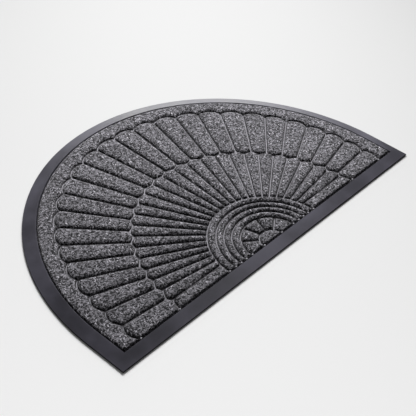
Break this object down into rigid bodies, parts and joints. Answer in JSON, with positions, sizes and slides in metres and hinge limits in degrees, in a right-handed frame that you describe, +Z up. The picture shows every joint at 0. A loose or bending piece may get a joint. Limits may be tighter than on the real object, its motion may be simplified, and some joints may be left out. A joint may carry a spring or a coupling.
{
  "type": "half-round doormat",
  "caption": "Half-round doormat: felt carpet pressed into a fan of raised petals, set in a rubber base with a sloping border.",
  "frame": {"origin": "under the middle of the mat's bounding box, in the plane that the mat lies on", "axes": "+X along the straight edge, +Y from the straight edge towards the top of the arc, +Z up out of the carpet"},
  "size_m": [0.8, 0.5, 0.0115],
  "materials": {
    "rubber": "satin, dark grey",
    "felt": "matt needle-punched felt, black, grey and white fibres mixed"
  },
  "bodies": {
    "root": {"rubber_base": "rubber", "felt_carpet": "felt"}
  },
  "joints": []
}
